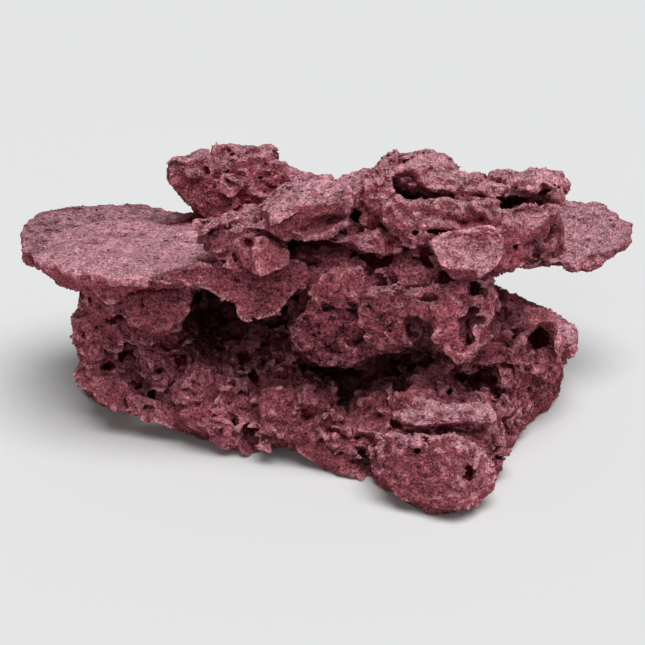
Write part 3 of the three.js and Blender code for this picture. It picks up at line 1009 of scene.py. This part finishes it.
class Skin:
    """The cells within a few millimetres of the stone's surface, where weathering is worked out."""

    TABLE = 61
    TABLES_AHEAD = 20
    EVEN_SIZE = 1.7

    def __init__(self, block, inward, outward):
        self.block = block
        self.cells = np.nonzero((block.depth > -inward) & (block.depth < outward))
        places = [
            (cells + low).astype(np.float32) * np.float32(block.voxel)
            for cells, low in zip(self.cells, block.low)
        ]
        self.points = np.stack(places)
        self.depth = block.depth[self.cells]
        self.share = block.share[self.cells]

    def noise(self, spans, seed, points=None):
        """Smooth random values, about 1 in size, read between the places of a repeating random table."""
        table = np.random.default_rng(seed).standard_normal((self.TABLE,) * 3, np.float32).ravel()
        points = self.points if points is None else points
        near, after, share = [], [], []
        for k in range(3):
            place = points[k] * np.float32(1 / spans[k]) + np.float32(self.TABLES_AHEAD * self.TABLE)
            cell = place.astype(np.int32)
            f = place - cell.astype(np.float32)
            near.append(cell % self.TABLE)
            after.append((near[k] + 1) % self.TABLE)
            share.append(f * f * (3 - 2 * f))
        total = 0
        for i, x in enumerate((near[0], after[0])):
            for j, y in enumerate((near[1], after[1])):
                row = (x * self.TABLE + y) * self.TABLE
                low, high = table[row + near[2]], table[row + after[2]]
                line = low + (high - low) * share[2]
                total = total + line * (share[0] if i else 1 - share[0]) * (share[1] if j else 1 - share[1])
        return total * np.float32(self.EVEN_SIZE)

    def creased(self, layers, points=None):
        """Layers of noise folded at 0, so that rounded swellings meet in sharp creases."""
        return sum(layer.reach * np.abs(self.noise(layer.spans, layer.seed, points)) for layer in layers)

    def warped(self, layer):
        """The skin's cells, each shifted a little, so that noise read there loses its even grain."""
        shifts = [self.noise(layer.spans, layer.seed + k) for k in range(3)]
        return self.points + np.float32(layer.reach) * np.stack(shifts)

    def crack(self, near, crowd):
        """Opens thin cracks where the stone isn't calm. They are wider where crowd is high."""
        middle = np.abs(self.noise(CRACKS.spans, CRACKS.seed, near))
        cracks = CRACK_WIDTH + CRACK_CROWDING * crowd - middle
        eaten = np.minimum(cracks * CRACK_SLOPE, self.depth + CRACKS.reach)
        self.depth = np.where(self.share > CRACKED_SHARE, np.maximum(self.depth, eaten), self.depth)

    def pit(self, near, layer, rarity, crowd):
        """Eats ragged pits into the skin, down to the layer's reach. They are more where crowd is high."""
        value = self.noise(layer.spans, layer.seed, near) + PIT_CROWDING * crowd - rarity
        value = value - PIT_SPARING * (1 - self.share)
        eaten = np.minimum(value * np.float32(PIT_SLOPE * layer.spans[0]), self.depth + layer.reach)
        self.depth = np.maximum(self.depth, eaten)

    def write(self):
        """Puts the skin's distances back into the block."""
        self.block.depth[self.cells] = self.depth


def weather(block, strength):
    """Wears the skin: ridges between rounded hollows above, crumbling lumps on the foot, and pits."""
    skin = Skin(block, SKIN_INWARD, SKIN_OUTWARD)
    near = skin.warped(WARP)
    wander = FOOT_WANDER.reach * skin.noise(FOOT_WANDER.spans, FOOT_WANDER.seed)
    foot = 1 - smooth_step(*FOOT_TOP, skin.points[2] + wander)
    small = skin.creased([SMALL]) - SMALL_MEAN
    above = skin.creased(RIDGED, near) - RIDGED_MEAN + small
    below = LUMPY_MEAN - skin.creased(LUMPY, near) - small
    skin.depth += np.float32(strength) * skin.share * ((1 - foot) * above + foot * below)
    crowd = skin.noise(CROWDS.spans, CROWDS.seed)
    skin.crack(near, crowd)
    crowd += foot
    skin.pit(near, LARGER_PITS, LARGER_RARITY, crowd)
    skin.pit(near, SMALLER_PITS, SMALLER_RARITY, crowd)
    skin.write()


def scoop(block, rng, fray):
    """Bites random scoops out of the surface, with fewer where the stone is calm."""
    points, out = block.surface_points(SCOOPS, rng)
    radii = rng.uniform(*SCOOP_RADII, SCOOPS)
    chances = rng.random(SCOOPS)
    shares = block.sample(block.share, points)
    for point, direction, radius, chance, share in zip(points, out, radii, chances, shares):
        if point[2] < radius or chance > share**2:
            continue
        block.cut_egg(point + direction * radius * SCOOP_LIFT, radius * np.asarray(SCOOP_SQUASH), fray)


def sculpt(block, weathering):
    """Works all the forms and the weathering into the block."""
    block.depth = block.blurred(block.depth, FACETS_BLURRED) - DRAWN_IN
    fray = sum(block.noise(layer) for layer in FRAY)
    for calm in CALM_PARTS:
        outside = smooth_step(*CALM_FADE, block.egg(calm.centre, calm.half))
        block.share *= 1 - (1 - calm.left) * (1 - outside)
    for hollow in HOLLOWS:
        block.cut_hollow(hollow, HOLLOW_FRAY * fray)
    for lobe in LOBES:
        block.add_lobe(lobe, LOBE_FRAY * fray)
    for pit in PITS:
        block.cut_hollow(pit, PIT_FRAY * fray)
    scoop(block, np.random.default_rng(SCOOP_SEED), fray)
    weather(block, weathering)
    np.maximum(block.depth, -block.axis(2), out=block.depth)


# ---- Grit ---------------------------------------------------------------------------------------

GRAIN_CORNERS = np.array([(1, 0, 0), (-1, 0, 0), (0, 1, 0), (0, -1, 0), (0, 0, 1), (0, 0, -1)], float)
GRAIN_SIDES = np.array(
    [(0, 2, 4), (2, 1, 4), (1, 3, 4), (3, 0, 4), (2, 0, 5), (1, 2, 5), (3, 1, 5), (0, 3, 5)]
)
# A grain is an uneven octahedron: how far out its corners lie and how deep it is sunk, for a radius of 1.
GRAIN_LENGTHS = (0.6, 1.25)
GRAIN_SUNK = 0.15

# Grains lie thicker on the front, thinner on crests, and not right at the ground. Gathered ones lie where
# the stone is recessed, and grow fewer above a height. Heights are in metres.
FRONT = (0, -0.93, 0.37)
FRONT_SHARE = 2.5
CREST = -0.22
CREST_SHARE = 0.15
ABOVE_GROUND = 0.003
GATHER_IN_RECESS = 4
GATHER_LOW = 20
GATHER_HEIGHT = 0.06


def grain_weights(area, normals, heights, shading, gather):
    """How likely each triangle of the stone is to hold a grain."""
    weight = area * np.where(faces_front(normals, FRONT), FRONT_SHARE, 1.0) * (heights > ABOVE_GROUND)
    too_high = np.maximum(heights - GATHER_HEIGHT, 0)
    hollow = np.exp(gather * (GATHER_IN_RECESS * shading["recess"] - GATHER_LOW * too_high))
    weight *= hollow * np.where(shading["pocket"] < CREST, CREST_SHARE, 1.0)
    return weight / weight.sum()


def scatter_grit(stone, name, count, sizes, gather, rng):
    """One mesh of angular grains half sunk in the stone's skin, which take the stone's numbers where they
    lie, and with them its painted light and shade.
    """
    triangles = face_corners(stone.data)
    corners = vertex_points(stone.data)[triangles]
    normals = np.cross(corners[:, 1] - corners[:, 0], corners[:, 2] - corners[:, 0])
    area = np.linalg.norm(normals, axis=1)
    normals /= area[:, None]
    shading = {field: get_field(stone.data, field)[triangles].mean(1) for field in FIELDS}
    weights = grain_weights(area, normals, corners.mean(1)[:, 2], shading, gather)
    chosen = rng.choice(len(triangles), count, p=weights)
    radius = np.exp(rng.uniform(*np.log(sizes), count))
    share = rng.dirichlet((1, 1, 1), count)
    centre = (corners[chosen] * share[:, :, None]).sum(1) - normals[chosen] * (GRAIN_SUNK * radius[:, None])
    shape = GRAIN_CORNERS[None] * rng.uniform(*GRAIN_LENGTHS, (count, len(GRAIN_CORNERS), 1))
    turns = np.linalg.qr(rng.normal(size=(count, 3, 3)))[0]
    turns *= np.linalg.det(turns)[:, None, None]
    grains = np.einsum("nij,nkj->nki", turns, shape) * radius[:, None, None] + centre[:, None]
    sides = GRAIN_SIDES[None] + len(GRAIN_CORNERS) * np.arange(count)[:, None, None]
    grit = new_mesh(name, grains.reshape(-1, 3), sides.reshape(-1, 3))
    for field, values in shading.items():
        set_field(grit, field, np.repeat(values[chosen], len(GRAIN_CORNERS)))
    return grit


# ---- Materials ----------------------------------------------------------------------------------

# Sizes of the stone's markings, in metres.
PATCH_SIZE = 0.03
MOTTLE_SIZE = 0.007
LUMP_SIZE = 0.0045
PORE_SIZE = 0.0029
BEND_SIZE = 0.002
GRAIN_SIZE = 0.0019
DOT_SIZE = 0.0014
SPECK_SIZE = 0.0013
GRAIN_BEND = 0.0014

# How much each marking lightens or darkens the stone, either side of its middle value. The holes and the
# gaps between grains darken it as painted shade, and the tone is partly painted light and shade.
MIDDLE = 0.5
BRIGHTNESS = 1.28
PATCH_SHADE = 0.9
MOTTLE_SHADE = 2.6
SPECK_SHADE = 3.0
TINT_SHADE = 0.4
TONE_AND_LIGHT_SHADE = 0.45
HOLE_SHADE = 0.6
GAP_SHADE = 0.25

# The share of dust and painted top light that is left even where no sky is seen; the rest is taken off under
# overhangs as painted shade.
SHADED_DUST = 0.15

# How deep the stone's bumps are, in metres.
LUMP_RELIEF = 0.004
GRAIN_RELIEF = 0.0035

# The floor's patches: their size in metres, and what their colour is multiplied by.
FLOOR_PATCH_SIZE = 0.9
FLOOR_DARKENING = 0.985


class Wire:
    """A node's output that Python's arithmetic works on, by adding Math nodes."""

    def __init__(self, graph, socket):
        self.graph = graph
        self.socket = socket

    def math(self, operation, first, second):
        return self.graph.node("ShaderNodeMath", {"operation": operation}, {0: first, 1: second})

    def __add__(self, other):
        return self.math("ADD", self, other)

    def __radd__(self, other):
        return self.math("ADD", other, self)

    def __sub__(self, other):
        return self.math("SUBTRACT", self, other)

    def __rsub__(self, other):
        return self.math("SUBTRACT", other, self)

    def __mul__(self, other):
        return self.math("MULTIPLY", self, other)

    def __rmul__(self, other):
        return self.math("MULTIPLY", other, self)

    def rise(self, low, high):
        """0 where the value is below low, 1 above high, and a smooth rise in between."""
        sockets = {"Value": self, "From Min": low, "From Max": high}
        return self.graph.node("ShaderNodeMapRange", {"interpolation_type": "SMOOTHSTEP"}, sockets)


class Graph:
    """The nodes of one material."""

    def __init__(self, name):
        self.material = bpy.data.materials.new(name)
        self.material.use_nodes = True
        self.tree = self.material.node_tree
        self.tree.nodes.clear()

    def node(self, kind, settings=None, sockets=None, output=0):
        """Adds a node, sets it up, gives its sockets values or wires, and returns one of its outputs."""
        node = self.tree.nodes.new(kind)
        for name, value in (settings or {}).items():
            setattr(node, name, value)
        for name, value in (sockets or {}).items():
            if isinstance(value, Wire):
                self.tree.links.new(value.socket, node.inputs[name])
            else:
                node.inputs[name].default_value = value
        return Wire(self, node.outputs[output])

    def field(self, name):
        """One of the numbers that the mesh's vertices carry."""
        return self.node("ShaderNodeAttribute", {"attribute_name": name}, output="Fac")

    def mix(self, share, first, second, blend="MIX"):
        """One colour over another, by a share from 0 to 1."""
        settings = {"data_type": "RGBA", "blend_type": blend}
        return self.node("ShaderNodeMix", settings, {0: share, 6: first, 7: second}, 2)

    def noise(self, place, size, detail=2.0, roughness=0.5, output=0):
        """Noise with features of a size in metres."""
        sockets = {"Vector": place, "Scale": 1 / size, "Detail": detail, "Roughness": roughness}
        return self.node("ShaderNodeTexNoise", {"noise_type": "FBM"}, sockets, output)

    def bump(self, height, distance, **below):
        """The surface's direction once a height of up to a distance in metres is laid over it."""
        sockets = {"Strength": 1.0, "Distance": distance, "Height": height, **below}
        return self.node("ShaderNodeBump", {}, sockets)

    def finish(self, sockets):
        """Wires a matt surface with these values or wires to the material's output."""
        shader = self.node("ShaderNodeBsdfPrincipled", {}, sockets)
        output = self.tree.nodes.new("ShaderNodeOutputMaterial")
        self.tree.links.new(shader.socket, output.inputs["Surface"])
        return self.material


def grains_of(g, place):
    """Packed grains with uneven edges: how far each place is into the gaps, and each grain's own shade."""
    bend = g.noise(place, BEND_SIZE, 2, 0.6, output="Color")
    steps = {0: bend, 1: (GRAIN_BEND,) * 3, 2: place}
    bent = g.node("ShaderNodeVectorMath", {"operation": "MULTIPLY_ADD"}, steps)
    sockets = {"Vector": bent, "Scale": 1 / GRAIN_SIZE}
    gap = g.node("ShaderNodeTexVoronoi", {}, sockets, "Distance").rise(0.25, 0.75)
    colour = g.node("ShaderNodeTexVoronoi", {}, sockets, "Color")
    return gap, g.node("ShaderNodeSeparateColor", {}, {0: colour}, 0)


def stone_colour(g, colours, patch, mottle):
    """Dust with painted top light on open tops, painted highlights on lips and dark, saturated painted shade
    in hollows over bare stone, and where the dust and top light lie.
    """
    pocket, recess, tone, sky = (g.field(name) for name in FIELDS)
    normal = g.node("ShaderNodeNewGeometry", output="Normal")
    upwards = g.node("ShaderNodeSeparateXYZ", {}, {0: normal}, "Z")
    # Dust lies on upward faces open to the sky and also paints those tops lighter as painted top light;
    # under overhangs it is held back as painted shade.
    settled = SHADED_DUST + (sky + patch * 0.3).rise(0.1, 0.75) * (1 - SHADED_DUST)
    dust_and_top_light = (upwards + mottle * 1.1 + tone * 0.35).rise(0.2, 0.85) * settled
    # Painted highlight: a paler colour on thin lips and convex ridges.
    painted_lip_highlight = (pocket * -1 + mottle * 0.14).rise(0.08, 0.3)
    # Painted shade: a dark, saturated red in pockets and broad recesses.
    painted_hollow_shade = (pocket * 0.8 + recess + mottle * 0.16).rise(0.0, 0.27)
    colour = g.mix(dust_and_top_light, colours.stone, colours.dust_and_top_light)
    colour = g.mix(painted_lip_highlight * 0.8, colour, colours.painted_lip_highlight)
    return g.mix(painted_hollow_shade * 0.95, colour, colours.hollow), dust_and_top_light


def stone_material(colours):
    """Porous stone, mottled and specked, with dark holes between its grains, which are painted shade."""
    g = Graph("Reef Stone")
    place = g.node("ShaderNodeTexCoord", output="Object")
    patch = g.noise(place, PATCH_SIZE, 3, 0.55) - MIDDLE
    mottle = g.noise(place, MOTTLE_SIZE, 4, 0.6) - MIDDLE
    speck = g.noise(place, SPECK_SIZE, 3, 0.8)
    gap, tint = grains_of(g, place)
    finer = g.noise(place, DOT_SIZE, 2, 0.6).rise(0.36, 0.48)
    solid = g.noise(place, PORE_SIZE, 3, 0.6).rise(0.33, 0.43) * (0.3 + finer * 0.7)

    colour, dust_and_top_light = stone_colour(g, colours, patch, mottle)
    shade = BRIGHTNESS + patch * PATCH_SHADE + mottle * MOTTLE_SHADE + (speck - MIDDLE) * SPECK_SHADE
    # Each lobe's tone: partly its own colour, partly painted light on lit lobes and painted shade on shaded
    # ones.
    shade = shade + (tint - MIDDLE) * TINT_SHADE + g.field("tone") * TONE_AND_LIGHT_SHADE
    # Painted shade in the pores, lighter under dust, and in the gaps between grains.
    painted_pore_shade = (1 - solid) * (1 - dust_and_top_light * 0.35)
    shade = shade * (1 - painted_pore_shade * HOLE_SHADE) * (1.08 - gap * GAP_SHADE)
    grey = g.node("ShaderNodeCombineColor", {}, {0: shade, 1: shade, 2: shade})
    colour = g.mix(1.0, colour, grey, "MULTIPLY")

    lumps = g.bump(g.noise(place, LUMP_SIZE, 3, 0.6), LUMP_RELIEF)
    normal = g.bump(speck * 0.9 + solid * 0.3 - gap * 0.25, GRAIN_RELIEF, Normal=lumps)
    return g.finish({"Base Color": colour, "Normal": normal, "Roughness": 0.95, "Specular IOR Level": 0.0})


def floor_material(colour):
    """A pale, matt sheet with broad patches that are hardly darker."""
    g = Graph("Studio Floor")
    place = g.node("ShaderNodeTexCoord", output="Object")
    darker = [FLOOR_DARKENING * c for c in colour[:3]] + [1.0]
    pale = g.mix(g.noise(place, FLOOR_PATCH_SIZE, 2).rise(0.3, 0.7) * 0.5, colour, darker)
    return g.finish({"Base Color": pale, "Roughness": 0.8, "Specular IOR Level": 0.2})


# ---- Settings -----------------------------------------------------------------------------------


def colour_property(name, description, colour):
    """A colour that a user can change."""
    return FloatVectorProperty(
        name=name,
        description=description,
        default=(*colour, 1.0),
        subtype="COLOR",
        size=4,
        min=0,
        max=1,
    )


def length_property(name, description, length):
    """A length that a user can change."""
    return FloatProperty(name=name, description=description, default=length, unit="LENGTH")


def angle_property(name, description, degrees):
    """An angle that a user can change."""
    return FloatProperty(name=name, description=description, default=math.radians(degrees), subtype="ANGLE")


class ReefStoneSettings(bpy.types.PropertyGroup):
    """Sizes and colours of the stone."""

    cell: length_property("Finest detail", "Size of the block's cells", 0.0012)
    draft_cell: length_property("Draft detail", "Size of the cells in a draft", 0.002)
    triangles: IntProperty(name="Triangles", description="Most triangles in the mesh", default=195000)
    weathering: FloatProperty(
        name="Weathering", description="How deeply the skin is worn", default=1.0, subtype="FACTOR"
    )
    stone: colour_property("Stone", "Colour of bare, upright stone", (0.37, 0.093, 0.118))
    # Dust colour, which is also painted top light on the tops.
    dust_and_top_light: colour_property("Dust", "Colour of dusty tops", (0.6, 0.295, 0.34))
    # Painted highlight on thin lips and ridges.
    painted_lip_highlight: colour_property("Lips", "Colour of thin lips and ridges", (0.7, 0.29, 0.33))
    # Painted shade deep in the hollows.
    hollow: colour_property("Hollows", "Colour deep in the hollows", (0.17, 0.009, 0.015))


class ReefGritSettings(bpy.types.PropertyGroup):
    """The grains on the stone."""

    count: IntProperty(name="Grains", description="How many grains each mesh has", default=24000)
    fine: length_property("Fine", "Radius of the finest grain", 0.0004)
    middle: length_property("Middle", "Radius of a middling grain", 0.0008)
    coarse: length_property("Coarse", "Radius of the largest crumb", 0.0019)


class ReefStageSettings(bpy.types.PropertyGroup):
    """The floor, lights and camera."""

    floor_size: length_property("Floor", "Width of the floor", 60.0)
    floor: colour_property("Floor colour", "Colour of the floor", (0.64, 0.644, 0.646))
    distance: length_property("Camera distance", "From the camera to the rock", 0.83)
    height: angle_property("Camera angle", "How far the camera looks down", 22)
    field: angle_property("Field of view", "Width of the camera's view", 27)
    sky: FloatProperty(name="Room light", description="Light from all round", default=0.17)
    lamp: FloatProperty(name="Overhead light", description="Strength of the soft light above", default=3.45)
    front: FloatProperty(name="Front light", description="Strength of the light in front", default=0.45)


# ---- Operators ----------------------------------------------------------------------------------

# This share of the stone's triangles lies on its front half, which faces this way.
THINNED_TOWARDS = (0, -0.8, 0.6)
THINNED_SHARE = 0.68

# Pockets and recesses are as broad as this, and the sky is looked for this far up, in millimetres.
POCKET_SIZE = 2.6
RECESS_SIZE = 8
SKY_HEIGHT = 8

# What the camera looks at, in metres, and how wide its sensor is, in millimetres.
VIEW_CENTRE = Vector((-0.00639, -0.00093, 0.0703))
SENSOR_WIDTH = 36


def add_object(scene, name, data, material):
    """Puts a mesh with one material into the scene."""
    piece = bpy.data.objects.new(name, data)
    piece.data.materials.append(material)
    scene.collection.objects.link(piece)
    return piece


class REEF_OT_stone(bpy.types.Operator):
    """Work the stone out of its solid model"""

    bl_idname = "reef_rock.stone"
    bl_label = "Build the stone"

    def execute(self, context):
        settings = context.scene.reef_stone
        cell, triangles = settings.cell, settings.triangles
        block = DistanceBlock(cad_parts[NODE].data, cell * MM)
        sculpt(block, settings.weathering)
        stone = add_object(context.scene, PIECE, block.to_mesh(PIECE), stone_material(settings))
        thinned(stone, triangles, THINNED_TOWARDS, THINNED_SHARE)
        stone.data.name = PIECE
        stone.data.shade_flat()
        points = vertex_points(stone.data) * MM
        # Pockets, recesses, tone and sky paint the stone's highlights, shade and top light in its material.
        set_field(stone.data, "pocket", block.sample(block.filling(POCKET_SIZE), points) - 0.5)
        set_field(stone.data, "recess", block.sample(block.filling(RECESS_SIZE), points) - 0.5)
        set_field(stone.data, "tone", block.sample(block.tone, points))
        set_field(stone.data, "sky", block.sample(block.open_sky(), points + (0, 0, SKY_HEIGHT)))
        if len(stone.data.polygons) >= PIECE_LIMIT:
            raise RuntimeError("the stone's mesh has too many triangles")
        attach(stone, BODY)
        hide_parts(NODE)
        return {"FINISHED"}


class REEF_OT_grit(bpy.types.Operator):
    """Scatter angular grains over the stone's skin"""

    bl_idname = "reef_rock.grit"
    bl_label = "Scatter the grit"

    def execute(self, context):
        settings = context.scene.reef_grit
        stone = context.scene.objects[PIECE]
        fine, middle, coarse = settings.fine, settings.middle, settings.coarse
        kinds = (
            ("reef_dust", (fine, middle), 0),
            ("reef_grit", (fine, 1.3 * middle), 0.4),
            ("reef_crumbs", (middle, coarse), 1.5),
        )
        for seed, (name, sizes, gather) in enumerate(kinds):
            grains = scatter_grit(stone, name, settings.count, sizes, gather, np.random.default_rng(seed))
            grit = add_object(context.scene, name, grains, stone.data.materials[0])
            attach(grit, BODY)
        return {"FINISHED"}


def add_camera(scene, settings):
    """A camera in front of the rock that looks down on it."""
    camera = bpy.data.objects.new("camera", bpy.data.cameras.new("camera"))
    camera.data.sensor_width = SENSOR_WIDTH
    camera.data.lens = SENSOR_WIDTH / 2 / math.tan(settings.field / 2)
    back = Vector((0, -math.cos(settings.height), math.sin(settings.height)))
    camera.location = VIEW_CENTRE + back * settings.distance
    camera.rotation_euler = (math.pi / 2 - settings.height, 0, 0)
    scene.collection.objects.link(camera)
    scene.camera = camera


def add_lamp(scene, name, strength, width, tilt, side):
    """A soft lamp that looks so many degrees wide, tilted to the front and to the side."""
    lamp = bpy.data.objects.new(name, bpy.data.lights.new(name, "SUN"))
    lamp.data.energy = strength
    lamp.data.angle = math.radians(width)
    lamp.rotation_euler = (math.radians(tilt), math.radians(side), 0)
    scene.collection.objects.link(lamp)


def add_room_light(scene, strength):
    """Even white light from all round."""
    scene.world = bpy.data.worlds.new("Studio")
    scene.world.use_nodes = True
    shade = scene.world.node_tree.nodes["Background"]
    shade.inputs["Color"].default_value = (1.0, 1.0, 1.0, 1.0)
    shade.inputs["Strength"].default_value = strength


class REEF_OT_stage(bpy.types.Operator):
    """Lay the floor and set up the lights and the camera"""

    bl_idname = "reef_rock.stage"
    bl_label = "Set the stage"

    def execute(self, context):
        settings = context.scene.reef_stage
        scene = context.scene
        half = settings.floor_size / 2
        corners = [(-half, -half, 0), (half, -half, 0), (half, half, 0), (-half, half, 0)]
        mesh = bpy.data.meshes.new("studio_floor")
        mesh.from_pydata(corners, [], [(0, 1, 2, 3)])
        floor = add_object(scene, "studio_floor", mesh, floor_material(settings.floor))
        add_camera(scene, settings)
        add_lamp(scene, "overhead", settings.lamp, width=45, tilt=20, side=9)
        add_lamp(scene, "front", settings.front, width=30, tilt=62, side=-25)
        add_room_light(scene, settings.sky)
        scene.view_settings.view_transform = "Standard"
        return {"FINISHED"}


class REEF_PT_panel(bpy.types.Panel):
    """Lists the settings and the steps"""

    bl_idname = "REEF_PT_panel"
    bl_label = "Reef Rock"
    bl_space_type = "VIEW_3D"
    bl_region_type = "UI"
    bl_category = "Reef Rock"

    def draw(self, context):
        scene = context.scene
        rows = (
            (scene.reef_stage, REEF_OT_stage),
            (scene.reef_stone, REEF_OT_stone),
            (scene.reef_grit, REEF_OT_grit),
        )
        for settings, operator in rows:
            box = self.layout.box()
            for name in settings.__annotations__:
                box.prop(settings, name)
            box.operator(operator.bl_idname)


CLASSES = (
    ReefStoneSettings,
    ReefGritSettings,
    ReefStageSettings,
    REEF_OT_stone,
    REEF_OT_grit,
    REEF_OT_stage,
    REEF_PT_panel,
)


def register():
    """Adds the classes and the scene's settings."""
    for cls in CLASSES:
        bpy.utils.register_class(cls)
    bpy.types.Scene.reef_stone = PointerProperty(type=ReefStoneSettings)
    bpy.types.Scene.reef_grit = PointerProperty(type=ReefGritSettings)
    bpy.types.Scene.reef_stage = PointerProperty(type=ReefStageSettings)


def unregister():
    """Takes the settings and the classes away again."""
    del bpy.types.Scene.reef_stage
    del bpy.types.Scene.reef_grit
    del bpy.types.Scene.reef_stone
    for cls in reversed(CLASSES):
        bpy.utils.unregister_class(cls)


def main():
    """Builds everything."""
    register()
    bpy.ops.reef_rock.stage()
    bpy.ops.reef_rock.stone()
    bpy.ops.reef_rock.grit()


if __name__ == "__main__":
    main()
